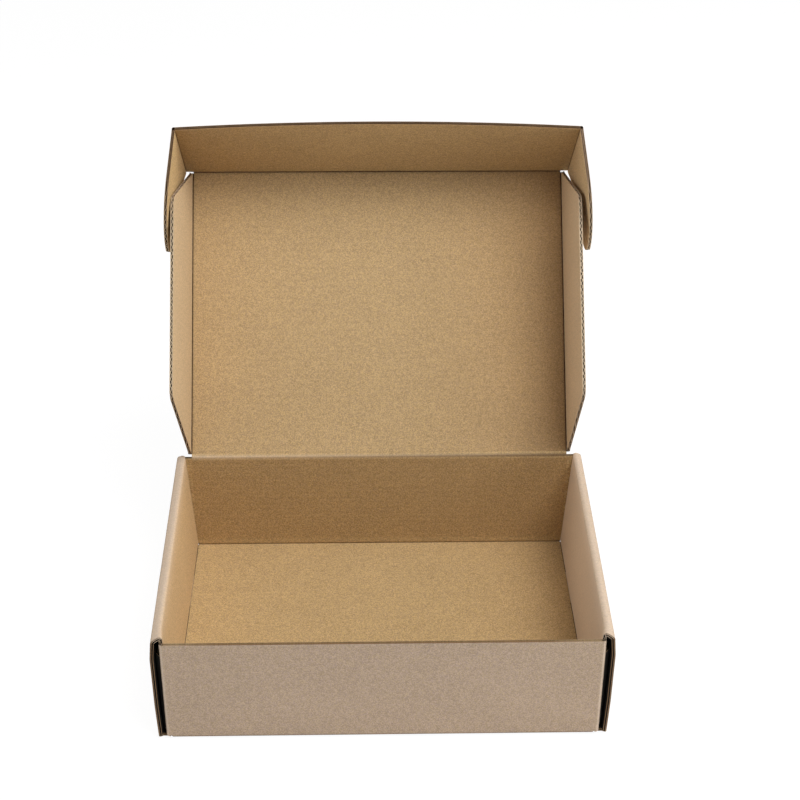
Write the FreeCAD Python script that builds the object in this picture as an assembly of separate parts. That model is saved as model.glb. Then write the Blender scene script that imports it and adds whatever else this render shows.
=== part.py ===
"""Corrugated mailer box, folded from one die-cut sheet, standing with its lid up.

Millimetres. X runs along the front, Y from the front to the back, Z up.
The origin is the middle of the tray's underside.
"""
import FreeCAD, Part
import math
import os

Vector = FreeCAD.Vector

# The board: one fluted medium between two liners
board = 1.6
liner = 0.3
flute_pitch = 3.16
flute_web = 0.42
cut_depth = 2.5
groove_depth = 1.2
half = board / 2

# Creases between panels that turn
crease_gap = 0.3

# Tray: its hinge, and how much wider and lower its front wall is
tray_depth = 146.0
hinge_width = 191.6
front_width = hinge_width + 4.4
side_height = 55.3
front_height = side_height - 1.3
hinge_height = side_height + 1.9
fold_radius = 1.4
corner_radius = 1.0
roll_radius = 0.9
fold_tail = 1.2

# Side wall, rolled over double: its centre line at three stations, measured from the front wall's end
wall_line = front_width / 2
bottom_reach = wall_line - 2.5
inner_foot = wall_line - 1.6
outer_foot = wall_line + 2.8
inner_crest = (wall_line + 0.2, wall_line + 1.0, wall_line + 1.9)
outer_crest = (wall_line + 2.9, wall_line + 3.9, wall_line + 4.7)
belly = (wall_line + 3.75, wall_line + 4.5, wall_line + 4.8)
waist = (wall_line + 3.5, wall_line + 4.1, wall_line + 4.0)
inner_crest_height = (side_height + 3.0, side_height + 1.6, side_height + 1.0)
outer_crest_height = (side_height + 1.0, side_height + 0.3, side_height)
belly_height = side_height - 8.3
waist_height = side_height - 35.3
belly_radius = 16.0
waist_radius = 150.0
foot_gap = 0.15

# Ends of the inner side wall, clear of the front dust flap's fold
inner_front_low = 4.5
inner_front_high = 8.5
inner_back_gap = 0.3
inner_end_reach = 0.2
shoulder_gap = 0.4

# Lock tabs of the inner side walls, in slots in the bottom
tab_length = 24.0
tab_places = (-32.0, 32.0)
tab_slack = 0.7
tab_lift = 0.1
tab_root = 1.0

# Dust flaps inside the rolled walls, and how far each reaches into the wall that it is folded from
dust_length = 42.0
dust_turn = 8.0
dust_low = 3.0
front_dust_high = side_height - 8.3
back_dust_high = side_height - 18.3
front_dust_low_x = wall_line + 0.9
front_dust_high_x = wall_line + 1.8
back_dust_low_x = wall_line + 0.75
back_dust_high_x = wall_line + 2.6
dust_root = 6.0

# Lid: tilt back from upright, and length from its hinge to the front flap's inner fold line
lid_tilt = 38.3
lid_length = 148.1
lid_back_fold = 108.0

# Lid wings: turn in from the lid's plane, on the left and the right
wing_turn_left = 85.0
wing_turn_right = 87.0
wing_width = 48.8
wing_start = 1.4
wing_end = lid_length - 0.1
wing_low_slant = 24.0
wing_high_slant = 24.4
wing_corner_radius = 7.0
wing_least_turn = 83.0
wing_bead_trim = 1.0

# Front flap: turn in from the lid's plane
flap_turn = 82.1
flap_width = hinge_width + 6.6
flap_length = 54.9
flap_bow = 2.8
flap_root = 3.2

# Ears at the flap's ends
ear_turn = 85.0
ear_length = 53.8
ear_root = 1.0
ear_shoulder = 24.0
ear_tip_height = 29.0
ear_neck = (10.0, 9.0)
ear_heel = (ear_length - 8.8, 18.4)
ear_brow = (ear_length - 8.9, 8.2)
ear_cheek = (2.5, 7.0)

# How far cutting shapes run past what they cut
margin = 5.0


def unit(v):
    """A 2D vector at length one."""
    size = math.hypot(v[0], v[1])
    return (v[0] / size, v[1] / size)


def crossing(p, d, q, e):
    """Where the line from p along d meets the line from q along e."""
    t = ((q[0] - p[0]) * e[1] - (q[1] - p[1]) * e[0]) / (d[0] * e[1] - d[1] * e[0])
    return (p[0] + d[0] * t, p[1] + d[1] * t)


def beside(points, radii, offset):
    """A path parallel to the polygon through points, to its left by offset, rounded at each inner point.

    Lines come out as (p, q) and arcs as (p, middle, q).
    """
    ways = [unit((q[0] - p[0], q[1] - p[1])) for p, q in zip(points, points[1:])]
    shifted = [(p[0] - d[1] * offset, p[1] + d[0] * offset) for p, d in zip(points, ways)]
    last = (points[-1][0] - ways[-1][1] * offset, points[-1][1] + ways[-1][0] * offset)
    path = []
    start = shifted[0]
    for i, radius in enumerate(radii):
        before, after = ways[i], ways[i + 1]
        turn = before[0] * after[1] - before[1] * after[0]
        r = radius - offset * math.copysign(1, turn)
        corner = crossing(shifted[i], before, shifted[i + 1], after)
        angle = math.atan2(turn, before[0] * after[0] + before[1] * after[1])
        back = r * math.tan(abs(angle) / 2)
        p = (corner[0] - before[0] * back, corner[1] - before[1] * back)
        q = (corner[0] + after[0] * back, corner[1] + after[1] * back)
        side = math.copysign(1, turn)
        centre = (p[0] - before[1] * r * side, p[1] + before[0] * r * side)
        out = unit((corner[0] - centre[0], corner[1] - centre[1]))
        path.append((start, p))
        path.append((p, (centre[0] + out[0] * r, centre[1] + out[1] * r), q))
        start = q
    path.append((start, last))
    return path


def board_wire(points, radii, half_thickness, lift):
    """The closed outline of a board bent along the polygon; lift turns 2D points into space."""
    left = beside(points, radii, half_thickness)
    right = [tuple(reversed(piece)) for piece in reversed(beside(points, radii, -half_thickness))]
    around = left + [(left[-1][-1], right[0][0])] + right + [(right[-1][-1], left[0][0])]
    edges = []
    for piece in around:
        ends = [lift(p) for p in piece]
        if len(ends) == 2:
            edges.append(Part.LineSegment(*ends).toShape())
        else:
            edges.append(Part.Arc(*ends).toShape())
    return Part.Wire(edges)


def box(x0, x1, y0, y1, z0, z1):
    """A block between two corners."""
    return Part.makeBox(x1 - x0, y1 - y0, z1 - z0, Vector(x0, y0, z0))


def placed(shape, origin, x_way, y_way):
    """A copy of a shape moved from its own axes to those at origin."""
    z_way = x_way.cross(y_way)
    matrix = FreeCAD.Matrix(
        x_way.x, y_way.x, z_way.x, origin.x,
        x_way.y, y_way.y, z_way.y, origin.y,
        x_way.z, y_way.z, z_way.z, origin.z,
        0, 0, 0, 1,
    )
    copy = shape.copy()
    copy.Placement = FreeCAD.Placement(matrix).multiply(copy.Placement)
    return copy


# The tray

front_face = -tray_depth / 2
back_face = tray_depth / 2
groove = half - liner


def long_profile():
    """Front wall, bottom and back wall in one bent board, across the box."""
    y_front = front_face + half
    y_back = back_face - half
    points = [(y_front, front_height), (y_front, half), (y_back, half), (y_back, hinge_height - half)]
    wire = board_wire(points, [fold_radius, fold_radius], half, lambda p: Vector(0, p[0], p[1]))
    reach = front_width / 2 - corner_radius - half
    body = Part.Face(wire).extrude(Vector(2 * reach, 0, 0))
    body.translate(Vector(-reach, 0, 0))
    return body


def hinge_bead():
    """The rounded top of the back wall, on which the lid turns."""
    end = hinge_point() - Vector(hinge_width / 2, 0, 0)
    return Part.makeCylinder(half, hinge_width, end, Vector(1, 0, 0))


def hinge_point():
    """The middle of the lid's crease."""
    return Vector(0, back_face - half, hinge_height - half)


def shoulders():
    """What is cut from the back wall's top corners beside the hinge."""
    low = hinge_height - half - shoulder_gap
    cuts = []
    for side in (-1, 1):
        x0, x1 = sorted((side * hinge_width / 2, side * front_width))
        cuts.append(box(x0, x1, back_face - 2 * board, back_face + board, low, hinge_height + board))
    return cuts


def side_points(station):
    """A rolled side wall's centre line at one of its stations, from its foot inside to the bottom."""
    return [
        (inner_foot, board + foot_gap),
        (inner_crest[station], inner_crest_height[station]),
        (outer_crest[station], outer_crest_height[station]),
        (belly[station], belly_height),
        (waist[station], waist_height),
        (outer_foot, half),
        (bottom_reach, half),
    ]


side_radii = [roll_radius, roll_radius, belly_radius, waist_radius, fold_radius]


def side_wall(side):
    """One rolled side wall, bowed along its length, with the flute's groove in its cut ends."""
    stations = (front_face, 0.0, back_face)

    def outline(station, y, thickness):
        line = side_points(station)
        return board_wire(line, side_radii, thickness, lambda p: Vector(side * p[0], y, p[1]))

    wall = Part.makeLoft([outline(i, y, half) for i, y in enumerate(stations)], True, False)
    for station, y, way in ((0, front_face, 1), (2, back_face, -1)):
        slot = Part.Face(outline(station, y, groove)).extrude(Vector(0, way * groove_depth, 0))
        wall = wall.cut(slot)
    return wall


def inner_wall_ends(side):
    """What is cut from the inner wall's ends, below the roll and beside the front and back walls."""
    high = side_height - half
    x0, x1 = sorted((side * (inner_foot - 2 * board), side * (inner_crest[2] + inner_end_reach)))
    y_low = front_face + board + inner_front_low
    y_high = front_face + board + inner_front_high
    y_out = front_face - margin
    outline = [(y_out, board), (y_low, board), (y_high, high), (y_out, high)]
    wire = Part.makePolygon([Vector(x0, y, z) for y, z in outline + outline[:1]])
    front = Part.Face(wire).extrude(Vector(x1 - x0, 0, 0))
    y_back = back_face - board - inner_back_gap
    back = box(x0, x1, y_back, back_face + margin, board, high)
    return [front, back]


def dust_flap(side, end):
    """A dust flap folded from the front or back wall into the rolled side wall; end is -1 or 1."""
    y_wall = end * (tray_depth / 2 - half)
    y_turn = y_wall - end * dust_turn
    y_tip = y_wall - end * dust_length
    fold = front_width / 2 - half
    if end < 0:
        ends = (
            (dust_low, fold, front_dust_low_x),
            (front_dust_high, fold, front_dust_high_x),
        )
    else:
        ends = (
            (dust_low, back_dust_low_x, back_dust_low_x),
            (back_dust_high, back_dust_high_x, back_dust_high_x),
        )
    wires = []
    for z, corner, x in ends:
        points = [(fold - dust_root, y_wall), (corner, y_wall), (x, y_turn), (x, y_tip)]
        radii = [corner_radius, corner_radius]
        if end > 0:
            points = [(fold - dust_root, y_wall), (corner, y_wall), (x, y_tip)]
            radii = [corner_radius]
        wires.append(board_wire(points, radii, half, lambda p: Vector(side * p[0], p[1], z)))
    return Part.makeLoft(wires, True, True)


def front_fold(side):
    """The rounded upright edge of the front wall, its full height."""
    y_wall = front_face + half
    fold = front_width / 2 - half
    points = [(fold - dust_root, y_wall), (fold, y_wall), (fold, y_wall + fold_tail)]
    wire = board_wire(points, [corner_radius], half, lambda p: Vector(side * p[0], p[1], board))
    return Part.Face(wire).extrude(Vector(0, 0, front_height - board))


def back_edge(side):
    """The back wall's upright edge beside the roll, up to its shoulder."""
    fold = front_width / 2
    inner = front_width / 2 - corner_radius - half - dust_root
    x0, x1 = sorted((side * inner, side * fold))
    high = hinge_height - half - shoulder_gap
    return box(x0, x1, back_face - board, back_face, board, high)


def lock_slots(side):
    """The slots in the bottom that take one inner wall's tabs."""
    cuts = []
    for y in tab_places:
        x0, x1 = sorted((side * (inner_foot - half - tab_slack), side * (inner_foot + half + tab_slack)))
        reach = tab_length / 2 + tab_slack
        cuts.append(box(x0, x1, y - reach, y + reach, -board, board))
    return cuts


def lock_tabs(side):
    """The tabs at the foot of one inner wall."""
    tabs = []
    for y in tab_places:
        x0, x1 = sorted((side * (inner_foot - half), side * (inner_foot + half)))
        tabs.append(box(x0, x1, y - tab_length / 2, y + tab_length / 2, tab_lift, board + tab_root))
    return tabs


def top_groove():
    """The open flute along the front wall's top edge."""
    reach = front_width / 2 - board
    y = front_face + half
    return box(-reach, reach, y - groove, y + groove, front_height - groove_depth, front_height + margin)


def tray():
    """Bottom, walls, rolled sides, dust flaps and lock tabs: one folded piece."""
    body = long_profile()
    body = body.fuse([hinge_bead()])
    body = body.cut(Part.makeCompound(shoulders()))
    parts = []
    for side in (-1, 1):
        wall = side_wall(side).cut(Part.makeCompound(inner_wall_ends(side)))
        parts += [wall, dust_flap(side, -1), dust_flap(side, 1), front_fold(side), back_edge(side)]
    body = body.fuse(parts)
    for side in (-1, 1):
        body = body.cut(Part.makeCompound(lock_slots(side)))
        body = body.fuse(lock_tabs(side))
    body = body.cut(top_groove())
    return body


# The lid and its flaps, each made flat in its own axes

tilt = math.radians(lid_tilt)
lid_way = Vector(0, math.sin(tilt), math.cos(tilt))
lid_inside = Vector(0, -math.cos(tilt), math.sin(tilt))
flap_axis = lid_length + half
scoop = half + crease_gap


def lid_panel():
    """The lid's flat panel: x across, y from the hinge, z towards the inside."""
    wide = hinge_width / 2
    plate = box(-wide, wide, 0, flap_axis, -half, half)
    bead = Part.makeCylinder(half, hinge_width, Vector(-wide, flap_axis, 0), Vector(1, 0, 0))
    plate = plate.fuse([bead, wing_bead(-1), wing_bead(1)])
    reach = wide + margin
    plate = plate.cut(Part.makeCylinder(scoop, 2 * reach, Vector(-reach, 0, 0), Vector(1, 0, 0)))
    fold = math.radians(180 - lid_back_fold)
    root = box(-reach, reach, -margin, margin, -scoop, scoop)
    relief = placed(root, Vector(0, 0, 0), Vector(1, 0, 0), Vector(0, math.cos(fold), -math.sin(fold)))
    return plate.cut(relief.common(box(-reach, reach, -margin, margin, -margin, 0)))


def wing_bead(side):
    """The lid's rounded edge under a wing, on the outside of the fold."""
    start = wing_start
    length = wing_end - wing_start
    bead = Part.makeCylinder(board, length, Vector(side * hinge_width / 2, start, half), Vector(0, 1, 0))
    slant = 90 - wing_least_turn + wing_bead_trim
    x0, x1 = sorted((0, side * margin))
    keep = box(x0, x1, start - margin, start + length + margin, -margin, 0)
    keep.rotate(Vector(0, 0, 0), Vector(0, 1, 0), side * slant)
    keep.translate(Vector(side * hinge_width / 2, 0, half))
    x0, x1 = sorted((side * hinge_width / 2, side * (hinge_width / 2 + margin)))
    return bead.common(keep).common(box(x0, x1, start, start + length, -margin, half))


def rounded_plate(corners, radii, thickness):
    """A flat plate with rounded corners; a radius of 0 leaves a corner sharp."""
    edges = []
    count = len(corners)
    points = []
    for i, radius in enumerate(radii):
        p, c, n = corners[i - 1], corners[i], corners[(i + 1) % count]
        if radius == 0:
            points.append((c,))
            continue
        before = unit((p[0] - c[0], p[1] - c[1]))
        after = unit((n[0] - c[0], n[1] - c[1]))
        angle = math.acos(before[0] * after[0] + before[1] * after[1])
        back = radius / math.tan(angle / 2)
        middle = unit((before[0] + after[0], before[1] + after[1]))
        deep = radius / math.sin(angle / 2) - radius
        points.append((
            (c[0] + before[0] * back, c[1] + before[1] * back),
            (c[0] + middle[0] * deep, c[1] + middle[1] * deep),
            (c[0] + after[0] * back, c[1] + after[1] * back),
        ))
    for i, here in enumerate(points):
        if len(here) == 3:
            edges.append(Part.Arc(*[Vector(a, b, 0) for a, b in here]).toShape())
        there = points[(i + 1) % count]
        edges.append(Part.LineSegment(Vector(*here[-1], 0), Vector(*there[0], 0)).toShape())
    return Part.Face(Part.Wire(edges)).extrude(Vector(0, 0, thickness))


def flutes(x_reach, y_low, y_high):
    """Two rows of three-sided tunnels along x, between the liners of a plate that lies on z 0."""
    width = flute_pitch - flute_web
    low = liner
    high = board - liner
    tunnels = []
    count = int((y_high - y_low) / flute_pitch) + 1
    for i in range(count):
        y = y_low + i * flute_pitch
        rows = (
            (y, low, y + width / 2, high - flute_web / 2),
            (y + flute_pitch / 2, high, y + flute_pitch / 2 + width / 2, low + flute_web / 2),
        )
        for foot, level, peak, tip in rows:
            outline = [Vector(0, foot, level), Vector(0, foot + width, level), Vector(0, peak, tip)]
            end = Part.Face(Part.makePolygon(outline + outline[:1]))
            tunnels.append(end.extrude(Vector(x_reach, 0, 0)))
    return Part.makeCompound(tunnels)


def with_open_flutes(plate, x_reach, y_low, y_high):
    """The plate with its flutes open along every edge that faces +x."""
    kept = plate.copy()
    kept.translate(Vector(-cut_depth, 0, 0))
    rim = plate.cut(kept)
    return plate.cut(flutes(x_reach, y_low, y_high).common(rim))


def wing():
    """A lid wing, flat: x from its crease outwards, y along it, z from its inner to its outer face."""
    corners = [
        (crease_gap, wing_start),
        (wing_width, wing_start + wing_low_slant),
        (wing_width, wing_end - wing_high_slant),
        (crease_gap, wing_end),
    ]
    plate = rounded_plate(corners, [0, wing_corner_radius, wing_corner_radius, 0], board)
    return with_open_flutes(plate, wing_width + margin, wing_start, wing_end)


def ear_plate():
    """An ear, flat: x from its crease, y from the flap's fold to its free edge, z across the board."""
    x_start = half
    edges = [
        Part.LineSegment(Vector(x_start, ear_root, 0), Vector(x_start, flap_length, 0)),
        Part.LineSegment(Vector(x_start, flap_length, 0), Vector(ear_shoulder, flap_length, 0)),
        Part.Arc(
            Vector(ear_shoulder, flap_length, 0),
            Vector(ear_brow[0], flap_length - ear_brow[1], 0),
            Vector(ear_length, ear_tip_height, 0),
        ),
        Part.Arc(
            Vector(ear_length, ear_tip_height, 0),
            Vector(ear_length - ear_cheek[0], ear_tip_height - ear_cheek[1], 0),
            Vector(*ear_heel, 0),
        ),
        Part.LineSegment(Vector(*ear_heel, 0), Vector(*ear_neck, 0)),
        Part.LineSegment(Vector(*ear_neck, 0), Vector(x_start, ear_root, 0)),
    ]
    face = Part.Face(Part.Wire([e.toShape() for e in edges]))
    plate = face.extrude(Vector(0, 0, board))
    plate.translate(Vector(0, 0, -half))
    return plate


def ear():
    """An ear with its open flutes, its crease hollow and the groove in its straight edge."""
    plate = ear_plate()
    plate.translate(Vector(0, 0, half))
    plate = with_open_flutes(plate, ear_length + margin, ear_root, flap_length)
    plate.translate(Vector(0, 0, -half))
    low, high = flap_length - groove_depth, flap_length + margin
    open_edge = box(flap_root, ear_shoulder, low, high, -groove, groove)
    plate = plate.cut(open_edge)
    return root_relief(plate, flap_length)


def root_relief(plate, length):
    """Clears a panel's root round a crease along y at x 0, for a fold of up to a right angle towards +z."""
    hollow = Part.makeCylinder(scoop, length + 2 * margin, Vector(0, -margin, 0), Vector(0, 1, 0))
    inside = box(-scoop, scoop, -margin, length + margin, 0, margin)
    return plate.cut(hollow).cut(inside)


def front_flap():
    """The front flap: x across, y from its crease, z towards the inside; its free edge bows outwards."""
    wide = flap_width / 2
    reach = wide + half
    root = box(-reach, reach, half, flap_root, -half, half)
    tip = []
    base = []
    for z in (-half, half):
        middle = Vector(0, flap_length, z - flap_bow)
        tip.append(Part.Arc(
            Vector(-reach, flap_length, z), middle, Vector(reach, flap_length, z)
        ).toShape())
        base.append(Part.LineSegment(Vector(-reach, flap_root, z), Vector(reach, flap_root, z)).toShape())

    def closed(low, high):
        ends = [
            Part.LineSegment(low.Vertexes[-1].Point, high.Vertexes[-1].Point).toShape(),
            Part.LineSegment(high.Vertexes[0].Point, low.Vertexes[0].Point).toShape(),
        ]
        return Part.Wire([low, ends[0], high, ends[1]])

    panel = Part.makeLoft([closed(*base), closed(*tip)], True, True)
    flap = root.fuse([panel])
    out = reach + margin
    hollow = Part.makeCylinder(scoop, 2 * out, Vector(-out, 0, 0), Vector(1, 0, 0))
    flap = flap.cut(hollow).cut(box(-out, out, -scoop, scoop, 0, margin))
    beads = []
    for side in (-1, 1):
        foot = Vector(side * reach, flap_root, 0)
        beads.append(Part.makeCylinder(half, flap_length - flap_root, foot, Vector(0, 1, 0)))
    return flap.fuse(beads)


def flap_frame():
    """The front flap's origin and ways at rest: its crease, along it, and its inside."""
    turn = math.radians(flap_turn)
    origin = hinge_point() + lid_way * flap_axis
    way = lid_way * math.cos(turn) + lid_inside * math.sin(turn)
    inside = lid_inside * math.cos(turn) - lid_way * math.sin(turn)
    return origin, way, inside


def placed_lid():
    return placed(lid_panel(), hinge_point(), Vector(1, 0, 0), lid_way)


def placed_wing(side):
    turn = math.radians(wing_turn_left if side < 0 else wing_turn_right)
    out = Vector(side, 0, 0)
    way = out * math.cos(turn) + lid_inside * math.sin(turn)
    origin = hinge_point() + out * (hinge_width / 2) + lid_inside * half
    flat = wing()
    if side > 0:
        flat = flat.mirror(Vector(0, 0, 0), Vector(0, 0, 1))
    return placed(flat, origin, way, lid_way)


def placed_flap():
    origin, way, inside = flap_frame()
    return placed(front_flap(), origin, Vector(1, 0, 0), way)


def placed_ear(side):
    origin, way, inside = flap_frame()
    turn = math.radians(ear_turn)
    out = Vector(side, 0, 0)
    along = out * math.cos(turn) + inside * math.sin(turn)
    inner = inside * math.cos(turn) - out * math.sin(turn)
    start = origin + out * (flap_width / 2 + half)
    if side > 0:
        return placed(ear(), start, along, way)
    flat = ear().mirror(Vector(0, 0, 0), Vector(0, 0, 1))
    return placed(flat, start, along, way)


pieces = {
    "tray": tray,
    "lid_panel": placed_lid,
    "lid_wing_left": lambda: placed_wing(-1),
    "lid_wing_right": lambda: placed_wing(1),
    "lid_front_flap": placed_flap,
    "lid_ear_left": lambda: placed_ear(-1),
    "lid_ear_right": lambda: placed_ear(1),
}

os.makedirs("parts", exist_ok=True)
for name, make in pieces.items():
    shape = make()
    print(name, "solids", len(shape.Solids), "valid", shape.isValid(), "volume", round(shape.Volume, 1))
    shape.Solids[0].exportStep(f"parts/{name}.step")
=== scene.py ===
"""Corrugated mailer box standing open: the finish of its folded board, its creases and the stage."""
import math

import bpy
import numpy as np
from mathutils import Matrix, Vector


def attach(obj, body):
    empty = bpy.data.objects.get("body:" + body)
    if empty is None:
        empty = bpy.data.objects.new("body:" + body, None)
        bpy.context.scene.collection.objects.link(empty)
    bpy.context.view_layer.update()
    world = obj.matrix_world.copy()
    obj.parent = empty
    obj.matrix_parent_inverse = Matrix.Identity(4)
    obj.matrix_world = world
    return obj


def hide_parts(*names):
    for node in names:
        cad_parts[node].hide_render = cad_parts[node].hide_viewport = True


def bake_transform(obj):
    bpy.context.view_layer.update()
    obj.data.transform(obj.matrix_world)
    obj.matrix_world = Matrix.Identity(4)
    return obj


bl_info = {
    "name": "Corrugated mailer box",
    "version": (1, 0, 0),
    "blender": (4, 5, 0),
    "location": "View3D > Sidebar > Mailer",
    "description": "Builds an open mailer box from three-ply corrugated board",
    "category": "Object",
}

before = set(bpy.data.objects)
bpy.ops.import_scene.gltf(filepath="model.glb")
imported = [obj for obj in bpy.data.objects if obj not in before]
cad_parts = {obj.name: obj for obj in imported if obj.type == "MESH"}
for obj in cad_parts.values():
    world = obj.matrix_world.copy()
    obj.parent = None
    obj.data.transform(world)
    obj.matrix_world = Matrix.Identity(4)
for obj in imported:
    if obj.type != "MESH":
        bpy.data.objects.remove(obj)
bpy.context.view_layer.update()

MM = 0.001


def srgb(code):
    """An sRGB hex value as linear red, green and blue."""
    parts = [int(code[i:i + 2], 16) / 255 for i in (1, 3, 5)]
    return tuple(c / 12.92 if c <= 0.04045 else ((c + 0.055) / 1.055) ** 2.4 for c in parts)


def length(name, description, default):
    """A length property, given in millimetres and kept in metres."""
    return bpy.props.FloatProperty(
        name=name, description=description, default=default * MM, unit="LENGTH", subtype="DISTANCE",
        precision=5,
    )


def turn(name, description, default):
    """An angle property, given in degrees."""
    return bpy.props.FloatProperty(
        name=name, description=description, default=math.radians(default), subtype="ANGLE"
    )


def power(name, description, default):
    """A lamp's power in watts."""
    return bpy.props.FloatProperty(name=name, description=description, default=default, unit="POWER")


def share(name, description, default):
    """A plain number without a unit."""
    return bpy.props.FloatProperty(name=name, description=description, default=default)


def colour(name, description, code):
    """A colour property from an sRGB hex value."""
    return bpy.props.FloatVectorProperty(
        name=name, description=description, default=srgb(code), subtype="COLOR", min=0, max=1
    )


class MailerBoard(bpy.types.PropertyGroup):
    """Corrugated board: one fluted medium between two liners."""

    board: length("Board", "Thickness of the board", 1.6)
    liner: length("Liner", "Thickness of each liner, a little more than paper so that edges show", 0.25)
    medium: length("Medium", "Thickness of the fluted medium, more than paper so that edges show", 0.3)
    flute_pitch: length("Flute pitch", "Distance from one flute to the next", 3.16)
    washboard: length("Washboard", "How far the liners sink between the flutes", 0.014)
    rows: bpy.props.IntProperty(name="Rows", description="Mesh rows for each flute", default=8, min=4)
    crease_groove: length("Crease groove", "Width left open on the inside of each crease that turns", 0.9)


class MailerTray(bpy.types.PropertyGroup):
    """The tray: bottom, walls, rolled sides and dust flaps."""

    depth: length("Depth", "Outside, front to back", 146.0)
    front_width: length("Front width", "Outside width of the front wall", 196.0)
    front_height: length("Front height", "Height of the front wall", 54.8)
    hinge_height: length("Hinge height", "Height of the back wall at the lid's crease", 57.2)
    hinge_width: length("Hinge width", "Length of the lid's crease", 191.6)
    fold_radius: length("Fold radius", "Bend of the bottom's folds, at mid board", 0.9)
    corner_radius: length("Corner radius", "Bend of the upright corners, at mid board", 1.0)
    roll_radius: length("Roll radius", "Bends over the top of each side wall, at mid board", 0.9)
    bottom_reach: length("Bottom reach", "Half width of the bottom panel", 95.5)


class MailerLid(bpy.types.PropertyGroup):
    """The lid with its wings, front flap and ears."""

    tilt: turn("Tilt", "Lean back from upright", 38.3)
    length: length("Length", "From the hinge to the front flap's inner fold line", 148.1)
    wing_turn_left: turn("Left wing", "Turn in from the lid's plane", 85)
    wing_turn_right: turn("Right wing", "Turn in from the lid's plane", 87)
    wing_width: length("Wing width", "From its crease to its free edge", 48.8)
    wing_start: length("Wing start", "Along the crease, from the hinge", 1.4)
    wing_end: length("Wing end", "Along the crease, from the hinge", 148.0)
    flap_turn: turn("Front flap", "Turn in from the lid's plane", 82.1)
    flap_width: length("Flap width", "Across the front flap", 198.2)
    flap_length: length("Flap length", "From its crease to its free edge", 54.9)
    flap_bow: length("Flap bow", "How far the middle of the free edge bows out", 2.8)
    ear_turn: turn("Ears", "Turn in from the front flap's plane", 85)
    ear_length: length("Ear length", "From its crease to its tip", 53.8)


class MailerColours(bpy.types.PropertyGroup):
    """Colours of the papers."""

    inside: colour("Inside liner", "Kraft liner on the inside", "#BDA073")
    outside: colour("Outside liner", "Kraft liner on the outside, greyed by light and handling", "#B49E88")
    # Painted warm bounce light: a warmer copy of the outside liner for the inner walls, lit by the golden
    # bottom
    sheltered: colour("Sheltered liner", "Outside liner rolled into the tray, still warm", "#C4A57A")
    # The medium is darkened as painted shade, so that the flute holes at cut edges look dark
    medium: colour("Medium", "Fluting paper between the liners", "#4E3B28")
    cut: colour("Cut across", "Fresh fibres where the blade cut across the flutes", "#CFB894")
    # Edges along the flutes are darkened, partly crushed paper and partly painted shade between the liners
    cut_along: colour("Cut along", "Crushed edge where the blade ran along the flutes", "#86694B")
    # Painted shade: multiplies the inside liner to darken and warm it where shade falls in the tray and on
    # the lid and flap
    aged: colour("Aged liner", "Multiplies the inside liner where it is darker and warmer", "#DDD2C6")
    # Paler liner on folds, roll and wings, partly scuffed paper and partly painted highlight and painted
    # light
    rubbed: colour("Rubbed fold", "Scuffed, paler liner on the outside of a fold", "#DCC8B2")
    # Painted shade: near black put on faces inside double walls, where no light comes
    hollow: colour("Hollow", "Paper deep between double walls, where no light comes", "#1D1915")
    # Crease darkening, partly crushed paper and partly painted shade in creases and along folds
    crease: colour("Crease", "Crushed paper in the creases", "#4A3525")
    fleck_dark: colour("Dark fibre", "Bark specks in the liner", "#6E5234")
    fleck_pale: colour("Pale fibre", "Bleached fibres in the liner", "#E2CFAE")


class MailerStage(bpy.types.PropertyGroup):
    """Camera, lamps and floor."""

    lens: share("Lens", "Focal length, on a 36 mm sensor", 74.0)
    key: power("Key lamp", "Soft lamp above right", 15.2)
    side: power("Side lamp", "Low lamp on the right", 8.7)
    fill: power("Fill lamp", "Low lamp on the left", 6.2)
    sky: share("Sky", "Even light from all round", 0.19)
    shadow: share("Shadow", "Share of the floor's own shade seen", 0.12)
    glow: share("Glow", "How white the floor is to the camera", 1.06)


def node(tree, kind, inputs=(), **settings):
    """A node of this kind with its settings; inputs gives each socket a value or another node's output."""
    made = tree.nodes.new(kind)
    for key, value in settings.items():
        setattr(made, key, value)
    for key, value in dict(inputs).items():
        if isinstance(value, bpy.types.NodeSocket):
            tree.links.new(value, made.inputs[key])
        else:
            made.inputs[key].default_value = value
    return made


def emptied(owner):
    """The owner's node tree, without its nodes."""
    owner.use_nodes = True
    owner.node_tree.nodes.clear()
    return owner.node_tree


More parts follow.
